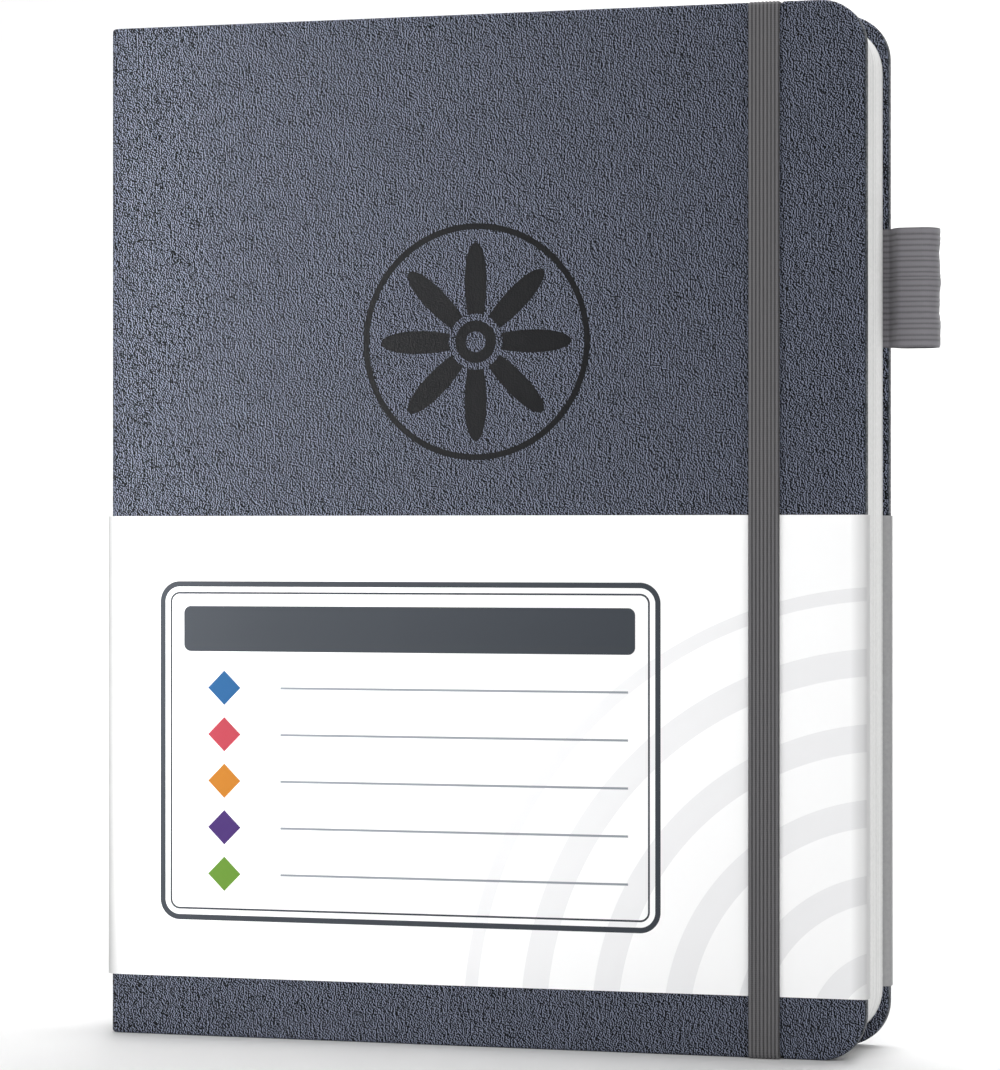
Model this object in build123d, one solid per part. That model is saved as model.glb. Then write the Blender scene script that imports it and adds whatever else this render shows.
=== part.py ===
"""A hardcover address book: leatherette case, sewn index sections, elastic closure, pen loop, belly band.

Millimetres. The book stands on its tail with +Z up, its front cover towards -Y and its spine at -X.
Every piece is worked out from the spine's outer face (x = 0), the middle of the book's thickness (y = 0)
and the tail edge (z = 0), and moved at the end so that the origin is under the middle of the whole book.
"""

import os

from build123d import *

# Case: boards covered in leatherette
cover_height = 170.0
cover_width = 130.0
corner_radius = 7.5
board_thickness = 2.0
spine_board_thickness = 1.8
skin_thickness = 0.6
edge_rounding = 0.7
turn_in_width = 12.0
hinge_radius = 4.0
board_setback = 1.0

# Endpapers and spine linings
endpaper_thickness = 0.15
pastedown_margin = 3.0
lining_thickness = 0.15
lining_margin = 6.0
gauze_thickness = 0.25
gauze_margin = 16.0

# Page block: sewn sections, two index letters each
index_pairs = ("ab", "cd", "ef", "gh", "ij", "kl", "mn", "op", "qr", "st", "uv", "wx", "yz")
section_thickness = 1.15
fold_rounding = 0.45
leaf_gap = 0.04
block_spine = 3.2
fore_edge_square = 0.9
head_square = 1.75
page_corner_radius = 8.0

# Elastic closure, head to tail over the front cover
closure_width = 5.0
closure_thickness = 1.0
closure_from_fore_edge = 16.4
closure_inner_bend = 0.1
closure_slit_from_edge = 9.0
closure_glued_length = 10.0
closure_turn_depth = 1.0
closure_clearance = 0.1

# Elastic pen loop at the back cover's fore-edge
loop_width = 19.5
loop_bottom = 115.0
loop_reach = 8.5
loop_depth = 6.8
loop_wall = 0.8
loop_corner = 3.0
loop_neck = 0.4
loop_gap = 0.2
loop_tab_length = 14.0
loop_tab_thickness = 1.2

# Paper belly band
band_height = 77.4
band_bottom = 10.0
band_paper = 0.25
band_clearance = 0.05
band_spine_stand_off = 0.45
band_fold_radius = 0.5
flap_length = 45.0

# Sizes that follow from those above
flap_room = band_paper + 2 * band_clearance
section_pitch = section_thickness + leaf_gap
block_thickness = len(index_pairs) * section_pitch + leaf_gap + 2 * endpaper_thickness
cover_thickness = skin_thickness + board_thickness
book_thickness = block_thickness + 2 * (cover_thickness + endpaper_thickness + flap_room)
outer_face = book_thickness / 2
inner_face = outer_face - cover_thickness
spine_flat = outer_face - hinge_radius
block_face = block_thickness / 2
block_fore = cover_width - fore_edge_square
closure_x = cover_width - closure_from_fore_edge
closure_lift = band_clearance + band_paper + band_clearance
closure_front = outer_face + closure_lift + closure_thickness
closure_bend = closure_inner_bend + closure_thickness / 2
loop_y = inner_face + loop_tab_thickness / 2
loop_axis_x = cover_width + loop_gap + loop_tab_thickness / 2
loop_tip = cover_width + loop_reach
band_spine_face = -(band_spine_stand_off + band_paper)

# The origin lies under the middle of the box that holds the whole book
centre_x = (loop_tip + band_spine_face) / 2
centre_y = (outer_face + closure_thickness - closure_front) / 2


def slab(x_from, x_to, y_from, y_to, z_from, z_to):
    """A block between two corners."""
    block = Box(x_to - x_from, y_to - y_from, z_to - z_from, align=(Align.MIN, Align.MIN, Align.MIN))
    return Pos(x_from, y_from, z_from) * block


def rounded_plate(x_from, x_to, y_from, y_to, z_from, z_to, radius):
    """A plate whose two fore-edge corners, at its +X end, are rounded."""
    plate = slab(x_from, x_to, y_from, y_to, z_from, z_to)
    corners = plate.edges().filter_by(Axis.Y).group_by(Axis.X)[-1]
    return fillet(corners, radius)


def soften_faces(plate, spine_end):
    """Rounds the rims of a plate's two broad faces, all but the end that meets the hinge or fold."""
    broad = plate.faces().sort_by(Axis.Y)
    rims = broad[0].edges() + broad[-1].edges()
    free = [edge for edge in rims if edge.center().X > spine_end + edge_rounding]
    return fillet(free, edge_rounding)


def notches(height, y_from, y_to, margin):
    """Shallow notches in a cover's head and tail edges, where the closure is pressed in."""
    half = closure_width / 2 + 2 * closure_clearance + margin
    deep = closure_thickness + closure_clearance + margin
    left = closure_x - half
    right = closure_x + half
    tail = slab(left, right, y_from, y_to, 0, deep)
    head = slab(left, right, y_from, y_to, height - deep, height)
    return tail + head


def cover_board():
    """The front cover's greyboard, with the turned-in leatherette pressed into its inner face."""
    z_from = skin_thickness
    z_to = cover_height - skin_thickness
    x_from = hinge_radius + board_setback
    x_to = cover_width - skin_thickness
    radius = corner_radius - skin_thickness
    y_from = skin_thickness - outer_face
    full = rounded_plate(x_from, x_to, y_from, -inner_face, z_from, z_to, radius)
    window = slab(
        x_from,
        cover_width - turn_in_width,
        -inner_face - skin_thickness,
        -inner_face,
        turn_in_width,
        cover_height - turn_in_width,
    )
    pressed = slab(x_from, x_to, -inner_face - skin_thickness, -inner_face, z_from, z_to) - window
    board = full - pressed
    return board - notches(cover_height, -outer_face, -inner_face, skin_thickness)


def cover_skin(board):
    """The leatherette on one cover: outer sheet, wrapped edges and turn-ins in one piece."""
    outer = rounded_plate(
        hinge_radius, cover_width, -outer_face, -inner_face, 0, cover_height, corner_radius
    )
    outer = soften_faces(outer, hinge_radius)
    outer = outer - notches(cover_height, -outer_face, -inner_face, 0)
    hinge_side = slab(
        hinge_radius,
        hinge_radius + board_setback,
        skin_thickness - outer_face,
        -inner_face,
        turn_in_width,
        cover_height - turn_in_width,
    )
    return outer - board - hinge_side


def cover_pastedown():
    """The half of the endpaper that is glued to the cover's inner face."""
    return rounded_plate(
        hinge_radius + board_setback,
        cover_width - pastedown_margin,
        -inner_face,
        endpaper_thickness - inner_face,
        pastedown_margin,
        cover_height - pastedown_margin,
        corner_radius - pastedown_margin,
    )


def turned_to_back(shape):
    """The matching piece of the back cover."""
    return mirror(shape, about=Plane.XZ)


def closure_way(height_of_edge, inward):
    """The slit and the shallow bed for one end of the closure, cut in the back cover."""
    half = closure_width / 2 + closure_clearance
    reach = closure_thickness / 2 + closure_clearance
    slit_z = height_of_edge + inward * closure_slit_from_edge
    end_z = slit_z + inward * (closure_glued_length + closure_clearance)
    back = slit_z - inward * reach
    slit = slab(
        closure_x - half, closure_x + half, inner_face, outer_face, slit_z - reach, slit_z + reach
    )
    bed = slab(
        closure_x - half,
        closure_x + half,
        inner_face,
        inner_face + closure_thickness + closure_clearance,
        min(back, end_z),
        max(back, end_z),
    )
    return slit + bed


def closure_end(height_of_edge, inward):
    """One end of the closure: over the back cover's edge, through the slit and along the bed."""
    middle = closure_thickness / 2
    edge_z = height_of_edge + inward * middle
    slit_z = height_of_edge + inward * closure_slit_from_edge
    path = FilletPolyline(
        (outer_face - closure_turn_depth, edge_z),
        (outer_face + middle, edge_z),
        (outer_face + middle, slit_z),
        (inner_face + middle, slit_z),
        (inner_face + middle, slit_z + inward * closure_glued_length),
        radius=closure_bend,
    )
    return across_closure(trace(path, line_width=closure_thickness))


def across_closure(section):
    """Carries a section in the Y-Z plane across the closure's width."""
    band = extrude(Plane.YZ * section, amount=closure_width)
    return Pos(closure_x - closure_width / 2, 0, 0) * band


def closure_hoop():
    """The closure's free hoop: head run, front run and tail run."""
    middle = closure_thickness / 2
    front = middle - closure_front
    path = FilletPolyline(
        (outer_face - closure_turn_depth, cover_height - middle),
        (front, cover_height - middle),
        (front, middle),
        (outer_face - closure_turn_depth, middle),
        radius=closure_bend,
    )
    return across_closure(trace(path, line_width=closure_thickness))


def loop_tab_space(clearance):
    """The pen loop's flat tab, or with a clearance the bed for it in the back cover."""
    return slab(
        cover_width - loop_tab_length - clearance,
        cover_width,
        inner_face,
        inner_face + loop_tab_thickness + clearance,
        loop_bottom - clearance,
        loop_bottom + loop_width + clearance,
    )


def pen_loop():
    """A band folded into a loop for a pen, drawn together at a neck that rolls on its own axis."""
    belly_length = loop_tip - loop_axis_x - loop_neck
    belly_centre = Pos(loop_tip - belly_length / 2, loop_y)
    outline = belly_centre * RectangleRounded(belly_length, loop_depth, loop_corner)
    hollow = belly_centre * RectangleRounded(
        belly_length - 2 * loop_wall, loop_depth - 2 * loop_wall, loop_corner - loop_wall
    )
    neck_length = loop_neck + loop_wall / 2
    neck = Pos(loop_axis_x + neck_length / 2, loop_y) * Rectangle(neck_length, loop_tab_thickness)
    root = Pos(loop_axis_x, loop_y) * Circle(loop_tab_thickness / 2)
    return Pos(0, 0, loop_bottom) * extrude(outline + neck + root - hollow, amount=loop_width)


def spine_board():
    """The stiff strip down the spine, with the leatherette's ends pressed into it."""
    x_to = skin_thickness + spine_board_thickness
    z_to = cover_height - skin_thickness
    strip = slab(skin_thickness, x_to, -spine_flat, spine_flat, skin_thickness, z_to)
    pressed_from = x_to - skin_thickness
    tail = slab(pressed_from, x_to, -spine_flat, spine_flat, skin_thickness, turn_in_width)
    head = slab(pressed_from, x_to, -spine_flat, spine_flat, cover_height - turn_in_width, z_to)
    return strip - tail - head


def spine_skin(board):
    """The leatherette down the spine, turned in at head and tail."""
    x_to = skin_thickness + spine_board_thickness
    outer = slab(0, x_to, -spine_flat, spine_flat, 0, cover_height)
    outside = outer.edges().filter_by(Axis.Y).group_by(Axis.X)[0]
    return fillet(outside, edge_rounding) - board


def spine_lining():
    """Paper glued to the inside of the spine board."""
    x_from = skin_thickness + spine_board_thickness
    return slab(
        x_from,
        x_from + lining_thickness,
        lining_margin - outer_face,
        outer_face - lining_margin,
        lining_margin,
        cover_height - lining_margin,
    )


def hinge_strip():
    """The front hinge: leatherette bent in a quarter round, double where it is turned in."""
    centre = (hinge_radius, -spine_flat)
    sheet_arc = CenterArc(centre, hinge_radius - skin_thickness / 2, 180, 90)
    turned_arc = CenterArc(centre, hinge_radius - 1.5 * skin_thickness, 180, 90)
    sheet = extrude(trace(sheet_arc, line_width=skin_thickness), amount=cover_height)
    turned = extrude(trace(turned_arc, line_width=skin_thickness), amount=turn_in_width)
    return sheet + turned + Pos(0, 0, cover_height - turn_in_width) * turned


def band_solid(section):
    """Raises a section of the belly band to the band's height."""
    return Pos(0, 0, band_bottom) * extrude(section, amount=band_height)


def band_panel():
    """The band's front panel, bent round the cover's fore-edge into its tucked flap."""
    outside = -(outer_face + band_clearance + band_paper / 2)
    inside = endpaper_thickness + band_clearance + band_paper / 2 - inner_face
    fore = cover_width + band_clearance + band_paper / 2
    path = FilletPolyline(
        (hinge_radius, outside),
        (fore, outside),
        (fore, inside),
        (cover_width - flap_length, inside),
        radius=band_fold_radius,
    )
    return band_solid(trace(path, line_width=band_paper))


def band_fold():
    """The band's soft bend from the spine panel to the front panel."""
    spine_line = band_spine_face + band_paper / 2
    radius = hinge_radius + band_clearance + band_paper / 2
    bend_x = spine_line + radius
    bend = CenterArc((bend_x, -spine_flat), radius, 180, 90)
    run = Line((bend_x, -spine_flat - radius), (hinge_radius, -spine_flat - radius))
    return band_solid(trace(bend + run, line_width=band_paper))


def band_spine():
    """The band's panel across the spine."""
    return slab(
        band_spine_face,
        band_spine_face + band_paper,
        -spine_flat,
        spine_flat,
        band_bottom,
        band_bottom + band_height,
    )


def leaf_plate(y_from, y_to):
    """Leaves of the page block, from one depth to another."""
    return rounded_plate(
        block_spine, block_fore, y_from, y_to, head_square, cover_height - head_square, page_corner_radius
    )


def index_section(number):
    """A folded and sewn section of leaves, counted from the front, with its rounded fold."""
    y_from = endpaper_thickness + leaf_gap + number * section_pitch - block_face
    section = leaf_plate(y_from, y_from + section_thickness)
    fold = section.edges().filter_by(Axis.Z).group_by(Axis.X)[0]
    return fillet(fold, fold_rounding)


def spine_gauze():
    """The gauze glued along the folds of the sections."""
    return slab(
        block_spine - gauze_thickness,
        block_spine,
        fold_rounding - block_face,
        block_face - fold_rounding,
        gauze_margin,
        cover_height - gauze_margin,
    )


pieces = {}

# Front cover
front_board = cover_board()
front_skin = cover_skin(front_board)
pieces["front_board"] = front_board
pieces["front_cover_skin"] = front_skin
pieces["front_pastedown"] = cover_pastedown()

# Back cover, with the ways for the closure's ends and the pen loop's tab
ways = closure_way(cover_height, -1) + closure_way(0, 1) + loop_tab_space(closure_clearance)
pieces["back_board"] = turned_to_back(front_board) - ways
pieces["back_cover_skin"] = turned_to_back(front_skin) - ways
pieces["back_pastedown"] = turned_to_back(cover_pastedown())
pieces["closure_head_end"] = closure_end(cover_height, -1)
pieces["closure_tail_end"] = closure_end(0, 1)
pieces["pen_loop_tab"] = loop_tab_space(0)

# Spine and its two hinge strips
pieces["spine_board"] = spine_board()
pieces["spine_skin"] = spine_skin(pieces["spine_board"])
pieces["spine_lining"] = spine_lining()
pieces["front_hinge_strip"] = hinge_strip()
pieces["rear_hinge_strip"] = turned_to_back(hinge_strip())

# Page block
pieces["spine_gauze"] = spine_gauze()
pieces["front_flyleaf"] = leaf_plate(-block_face, endpaper_thickness - block_face)
for number, letters in enumerate(index_pairs):
    pieces["leaves_" + letters] = index_section(number)
pieces["rear_flyleaf"] = leaf_plate(block_face - endpaper_thickness, block_face)

# Closure, pen loop and belly band
pieces["closure_band"] = closure_hoop()
pieces["pen_loop"] = pen_loop()
pieces["band_front"] = band_panel()
pieces["band_front_fold"] = band_fold()
pieces["band_spine"] = band_spine()
pieces["band_rear_fold"] = turned_to_back(band_fold())
pieces["band_back"] = turned_to_back(band_panel())

os.makedirs("parts", exist_ok=True)
to_origin = Pos(-centre_x, -centre_y, 0)
for node, shape in pieces.items():
    export_step(to_origin * shape, os.path.join("parts", node + ".step"))
print(len(pieces), "pieces, book", cover_width, "x", cover_height, "x", round(book_thickness, 2), "mm")
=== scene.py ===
# %% [markdown]
# An address book stands on its tail: boards wrapped in slate leatherette, a block of sewn sections, a
# ribbed elastic closure, an elastic pen loop and a white paper band round the lower half. The packed
# solids are loaded first and stay where they are. What shows is then worked out as numpy surfaces round
# them, so each piece keeps its real size, its place and the joint that it moves on.

# %% Load the frame
from functools import partial

import bmesh
import bpy
import numpy as np
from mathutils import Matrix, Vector


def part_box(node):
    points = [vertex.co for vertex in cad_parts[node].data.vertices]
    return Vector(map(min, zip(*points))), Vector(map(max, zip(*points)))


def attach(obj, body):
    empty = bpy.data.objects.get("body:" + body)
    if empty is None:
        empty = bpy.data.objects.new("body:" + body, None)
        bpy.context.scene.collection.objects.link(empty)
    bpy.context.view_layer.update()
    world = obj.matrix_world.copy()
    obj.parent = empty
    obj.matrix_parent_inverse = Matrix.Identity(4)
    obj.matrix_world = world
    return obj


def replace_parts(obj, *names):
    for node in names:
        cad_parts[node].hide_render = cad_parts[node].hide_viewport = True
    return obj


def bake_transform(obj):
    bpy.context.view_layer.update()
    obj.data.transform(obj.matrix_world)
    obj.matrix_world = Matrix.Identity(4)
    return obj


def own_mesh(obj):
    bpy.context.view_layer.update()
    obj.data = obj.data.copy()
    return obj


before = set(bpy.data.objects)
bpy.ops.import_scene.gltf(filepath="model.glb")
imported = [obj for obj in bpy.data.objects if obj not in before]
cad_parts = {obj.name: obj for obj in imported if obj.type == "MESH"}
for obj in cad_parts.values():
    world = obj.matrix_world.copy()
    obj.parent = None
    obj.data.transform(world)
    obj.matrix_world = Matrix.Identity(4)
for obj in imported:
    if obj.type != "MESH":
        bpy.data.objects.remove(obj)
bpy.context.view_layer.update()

# %% [markdown]
# Shapes are worked out in millimetres, because a bookbinder's sizes are. The frame is in metres, so one
# number turns millimetres into metres where a mesh is made, and one function reads a solid's corners the
# other way.

# %% Sizes read from the solids
METRES = 0.001


def corners_of(node):
    """Lowest and highest corner of a solid at rest, in millimetres."""
    low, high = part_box(node)
    return np.array(low) / METRES, np.array(high) / METRES


cover_low, cover_high = corners_of("front_cover_skin")
back_low, back_high = corners_of("back_cover_skin")
spine_low, spine_high = corners_of("spine_skin")
closure_low, closure_high = corners_of("closure_band")
cover_thickness = cover_high[1] - cover_low[1]
cover_height = cover_high[2] - cover_low[2]
hinge_radius = cover_low[0] - spine_low[0]
closure_middle = (closure_low[0] + closure_high[0]) / 2
closure_width = closure_high[0] - closure_low[0]
corner_radius = 7.5
sheet = 0.6
turn_in = 12.0
edge_rounding = 0.58
print("cover", np.round(cover_high - cover_low, 2), "mm, hinge radius", round(hinge_radius, 2), "mm")

# %% [markdown]
# Every new piece is the same kind of grid: rings of points, one after another. Neighbouring rings are
# joined by quads and the two end rings are closed by a face each, so a plate, a strip and a loop all come
# out closed. The volume inside tells which way the faces turn: when it comes out negative the rings are
# run backwards.

# %% A closed mesh from rings
def ring_quads(rows, columns):
    """Corner numbers of the quads between neighbouring rings; the last column meets the first."""
    row = np.arange(rows - 1)[:, None]
    column = np.arange(columns)[None, :]
    after = (column + 1) % columns
    corners = (
        row * columns + column,
        row * columns + after,
        (row + 1) * columns + after,
        (row + 1) * columns + column,
    )
    return np.stack(np.broadcast_arrays(*corners), -1).reshape(-1, 4)


def volume_inside(points):
    """A sixth of the sum of the triple products of all triangles, two to a quad and a fan to each end."""
    rows, columns = points.shape[:2]
    flat = points.reshape(-1, 3) - points.mean((0, 1))
    quad = flat[ring_quads(rows, columns)]
    first, last = flat[:columns][::-1], flat[-columns:]
    triangles = [quad[:, [0, 1, 2]], quad[:, [0, 2, 3]]]
    for ring in (first, last):
        hub = np.broadcast_to(ring[0], ring[1:-1].shape)
        triangles.append(np.stack([hub, ring[1:-1], ring[2:]], 1))
    a, b, c = np.moveaxis(np.concatenate(triangles), 1, 0)
    return np.einsum("ij,ij->", a, np.cross(b, c)) / 6


def add_rings(name, points, material, uv=None, sharp=40, marks=None):
    """An object from rings (rings, points on a ring, xyz) in millimetres. The uv grid has one column more,
    marks are kept on the points as printed, and edges that turn by more than sharp degrees stay crisp."""
    if volume_inside(points) < 0:
        points = np.roll(points[:, ::-1], 1, axis=1)
        uv = None if uv is None else uv[:, ::-1]
        marks = None if marks is None else np.roll(marks[:, ::-1], 1, axis=1)
    rows, columns = points.shape[:2]
    quads = ring_quads(rows, columns)
    ends = [list(range(columns))[::-1], list(range((rows - 1) * columns, rows * columns))]
    mesh = bpy.data.meshes.new(name)
    mesh.from_pydata((points.reshape(-1, 3) * METRES).tolist(), [], quads.tolist() + ends)
    if uv is not None:
        row, column = np.divmod(np.arange(len(quads)), columns)
        sides = [uv[row, column], uv[row, column + 1], uv[row + 1, column + 1], uv[row + 1, column]]
        loops = [np.stack(sides, 1).reshape(-1, 2), uv[0, :-1][::-1], uv[-1, :-1]]
        layer = mesh.uv_layers.new(name="along")
        layer.uv.foreach_set("vector", np.concatenate(loops).astype(np.float32).ravel())
    if marks is not None:
        layer = mesh.attributes.new("printed", "FLOAT", "POINT")
        layer.data.foreach_set("value", marks.astype(np.float32).ravel())
    mesh.shade_smooth()
    mesh.set_sharp_from_angle(angle=np.radians(sharp))
    mesh.materials.append(material)
    piece = bpy.data.objects.new(name, mesh)
    bpy.context.scene.collection.objects.link(piece)
    return piece


print("three rings of four points:", len(ring_quads(3, 4)), "quads")

# %% [markdown]
# A material is a short list of nodes. One function adds a node with its inputs and settings, and each
# finish binds it to its own material first. Colours are written as the sRGB hex values that a paint
# program shows and turned to linear light by one other function.

# %% Nodes and colours
def to_linear(hex_colour):
    """Linear red, green, blue and alpha of an sRGB hex colour: a straight foot, then a power of 2.4."""
    level = np.array([int(hex_colour[i:i + 2], 16) for i in (1, 3, 5)]) / 255
    linear = np.where(level <= 0.04045, level / 12.92, ((level + 0.055) / 1.055) ** 2.4)
    return (*linear.tolist(), 1.0)


def add_node(material, kind, inputs=None, **settings):
    """One shader node. An input is a number, a colour, or a pair of another node and its output's name."""
    node = material.node_tree.nodes.new("ShaderNode" + kind)
    for name, value in settings.items():
        setattr(node, name, value)
    for name, value in (inputs or {}).items():
        if isinstance(value, tuple) and isinstance(value[0], bpy.types.Node):
            material.node_tree.links.new(value[0].outputs[value[1]], node.inputs[name])
        else:
            node.inputs[name].default_value = value
    return node


def new_material(name):
    """An empty node material with its shader, which is returned beside it."""
    material = bpy.data.materials.new(name)
    material.use_nodes = True
    return material, material.node_tree.nodes["Principled BSDF"]


def join(material, source, output, shader, name):
    """Links one output to a socket of the shader."""
    material.node_tree.links.new(source.outputs[output], shader.inputs[name])


print("slate in linear light:", np.round(to_linear("#5b6270"), 3))

# %% [markdown]
# Leatherette is cloth coated with soft polyurethane and pressed between rollers, which leaves a fine
# pebble grain. Light from one side picks out each pebble: one flank is bright, the other dark. Relief a
# quarter of a millimetre across is lost in a small render, so the flanks are drawn in the colour as well:
# the height of a noise less its height a step to the side. Gloss follows the same numbers, and a weak
# bump is left for close views. Near the spine the coat has been bent, so a broken net of fine cracks
# opens there, and round the fore-edge it is drawn tight and smooth. A blind-stamped rosette marks the
# front: a hot die has smoothed the grain and darkened it.

# %% Slate leatherette, calendered polyurethane on cloth
def rosette_mask(material, middle, reach):
    """1 where the die pressed: eight petals, a ring round them and a ring at the hub. The petals' edge swells
    eight times round, with the squared cosine of four times the angle."""
    petal_root, petal_tip, petals_start = 0.16 * reach, 0.86 * reach, 4.6
    rim_half_line, hub_radius, hub_half_line = 0.5, 2.6, 0.9
    add = partial(add_node, material)
    place = add("TexCoord")
    offset = add(
        "VectorMath",
        {0: (place, "Object"), 1: (METRES * middle[0], 0, METRES * middle[1])},
        operation="SUBTRACT",
    )
    flat = add("VectorMath", {0: (offset, "Vector"), 1: (1, 0, 1)}, operation="MULTIPLY")
    radius = add("VectorMath", {0: (flat, "Vector")}, operation="LENGTH")
    sides = add("SeparateXYZ", {"Vector": (flat, "Vector")})
    angle = add("Math", {0: (sides, "Z"), 1: (sides, "X")}, operation="ARCTAN2")
    turned = add("Math", {0: (angle, "Value"), 1: 4.0}, operation="MULTIPLY")
    wave = add("Math", {0: (turned, "Value")}, operation="COSINE")
    petal = add("Math", {0: (wave, "Value"), 1: 2.0}, operation="POWER")
    edge = add(
        "MapRange",
        {"Value": (petal, "Value"), "To Min": petal_root * METRES, "To Max": petal_tip * METRES},
    )
    inside = add("Math", {0: (radius, "Value"), 1: (edge, "Result")}, operation="LESS_THAN")
    past_hub = add("Math", {0: (radius, "Value"), 1: petals_start * METRES}, operation="GREATER_THAN")
    mask = add("Math", {0: (inside, "Value"), 1: (past_hub, "Value")}, operation="MULTIPLY")
    for ring, half_line in ((reach, rim_half_line), (hub_radius, hub_half_line)):
        line = add(
            "Math", {0: (radius, "Value"), 1: ring * METRES, 2: half_line * METRES}, operation="COMPARE"
        )
        mask = add("Math", {0: (mask, "Value"), 1: (line, "Value")}, operation="MAXIMUM")
    return mask


def leatherette(name, stamp=None, sideways=(1.0, 0.0)):
    """Pebble-grained coated cloth. The height is a noise a quarter of a millimetre across with longer
    streaks, less a net of fine cracks that opens towards the spine. The tone is painted light and shade: the
    height less the height one step sideways and a little up, so each pebble is lit on one flank and shaded on
    the other. Sideways is the x and y share of that step. On the turned fore-edge, where the cloth is drawn
    tight over the board, the pebbles fade into one dark tone. A stamp is the middle and the reach of a
    rosette that is pressed smooth and dark."""
    grain_width, grain_length = 0.23, 0.25
    streak_width, streak_length, streak_share = 0.29, 1.2, 0.23
    crack_length, crack_width, crack_line, crack_depth = 1.6, 1.0, 0.075, 0.22
    cracks_start, cracks_full, more_at_spine = cover_low[0] + 30, cover_low[0] + 3, 0.3
    least_open, most_open = 0.52, 1.1
    flank, flank_rise, steepest = 0.16, 0.3, 0.075
    turn_start, turn_end, tight_share = 0.45, 0.95, 0.8
    dark_roughness, lit_roughness = 0.7, 0.36
    material, shader = new_material(name)
    add = partial(add_node, material)
    place = add("TexCoord")

    def scaled(across, up, shift=0.0):
        """Object coordinates in units of one grain, so many millimetres across and up, moved sideways."""
        scale = (1 / (across * METRES), 1 / (across * METRES), 1 / (up * METRES))
        moved = (shift * sideways[0] / across, shift * sideways[1] / across, flank_rise * shift / up)
        return add("Mapping", {"Vector": (place, "Object"), "Scale": scale, "Location": moved})

    def pebbles(shift):
        """Grain and longer streaks mixed, read a step to one side."""
        layers = []
        for across, up in ((grain_width, grain_length), (streak_width, streak_length)):
            layer = scaled(across, up, shift)
            layers.append(add("TexNoise", {"Vector": (layer, "Vector"), "Scale": 1.0, "Detail": 0.0}))
        return add(
            "Mix",
            {"Factor": streak_share, "A": (layers[0], "Fac"), "B": (layers[1], "Fac")},
            data_type="FLOAT",
        )

    here, beside = pebbles(0.0), pebbles(flank)
    # Painted light and shade: the height less the height a step aside lights one flank and shades the other.
    painted_flank_shade = add("Math", {0: (here, "Result"), 1: (beside, "Result")}, operation="SUBTRACT")
    crack_place = scaled(crack_length, crack_width)
    cells = add(
        "TexVoronoi", {"Vector": (crack_place, "Vector"), "Scale": 1.0}, feature="DISTANCE_TO_EDGE"
    )
    net = add(
        "MapRange", {"Value": (cells, "Distance"), "From Max": crack_line, "To Min": 1.0, "To Max": 0.0}
    )
    apart = add("SeparateXYZ", {"Vector": (place, "Object")})
    near_spine = add(
        "MapRange",
        {
            "Value": (apart, "X"),
            "From Min": METRES * cracks_start,
            "From Max": METRES * cracks_full,
            "To Max": more_at_spine,
        },
    )
    gaps = add("TexNoise", {"Vector": (crack_place, "Vector"), "Scale": 0.8, "Detail": 1.0})
    opened = add("Math", {0: (gaps, "Fac"), 1: (near_spine, "Result")}, operation="ADD")
    broken = add(
        "MapRange",
        {"Value": (opened, "Value"), "From Min": least_open, "From Max": most_open, "To Max": crack_depth},
    )
    crack = add("Math", {0: (net, "Result"), 1: (broken, "Result")}, operation="MULTIPLY")
    lit = add("Math", {0: (painted_flank_shade, "Value"), 1: (crack, "Value")}, operation="SUBTRACT")
    side = add("MapRange", {"Value": (lit, "Value"), "From Min": -steepest, "From Max": steepest})
    # The ramp turns painted flank light and shade into colour: near black where shaded, slate where lit.
    tone = add("ValToRGB", {"Fac": (side, "Result")})
    stops = tone.color_ramp.elements
    stops[0].position, stops[0].color = 0.08, to_linear("#020305")
    stops[1].position, stops[1].color = 1.0, to_linear("#777d8f")
    middle_stop = stops.new(0.64)
    middle_stop.color = to_linear("#111419")
    height = add("Math", {0: (here, "Result"), 1: (crack, "Value")}, operation="SUBTRACT")
    facing = add("SeparateXYZ", {"Vector": (place, "Normal")})
    turned = add(
        "MapRange",
        {"Value": (facing, "X"), "From Min": turn_start, "From Max": turn_end, "To Max": tight_share},
    )
    finish = add(
        "Mix",
        {"Factor": (turned, "Result"), "A": (tone, "Color"), "B": to_linear("#33383d")},
        data_type="RGBA",
    )
    gloss = add(
        "MapRange", {"Value": (side, "Result"), "To Min": dark_roughness, "To Max": lit_roughness}
    )
    if stamp:
        mask = rosette_mask(material, *stamp)
        finish = add(
            "Mix",
            {"Factor": (mask, "Value"), "A": (finish, "Result"), "B": to_linear("#0b0c0f")},
            data_type="RGBA",
        )
        pressed = add("MapRange", {"Value": (mask, "Value"), "To Min": 1.0, "To Max": 0.25})
        height = add("Math", {0: (height, "Value"), 1: (pressed, "Result")}, operation="MULTIPLY")
    bump = add("Bump", {"Height": (height, "Value"), "Strength": 1.0, "Distance": 0.0001})
    join(material, finish, "Result", shader, "Base Color")
    join(material, gloss, "Result", shader, "Roughness")
    join(material, bump, "Normal", shader, "Normal")
    shader.inputs["IOR"].default_value = 1.5
    shader.inputs["Specular IOR Level"].default_value = 0.15
    return material


rosette_middle, rosette_reach = (-4.0, 116.0), 19.0
slate_leatherette = leatherette("slate_leatherette_calendered")
stamped_leatherette = leatherette("slate_leatherette_stamped", (rosette_middle, rosette_reach))
# The spine's copy steps along y, so its painted flank light and shade lie along the spine's face.
spine_leatherette = leatherette("slate_leatherette_spine", sideways=(0.0, 1.0))
print("made", slate_leatherette.name, "and", stamped_leatherette.name, "and", spine_leatherette.name)

# %% [markdown]
# Uncoated book paper is a felt of fibres: white and quite matt. On the cut edges the sheets lie as thin
# layers, with painted shade in the gaps between them. Real sheets are a tenth of a millimetre, too fine to
# show, so the layers are drawn four times as thick. The broad faces of the pages are ruled for entries and
# carry a slate index tab at the fore-edge. A mark stored on the mesh says which points lie on a broad face,
# so that no line runs over the cut edges.

# %% Book paper, machine-finished and ruled
tab_width, tab_height = 9.0, 11.0
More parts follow.
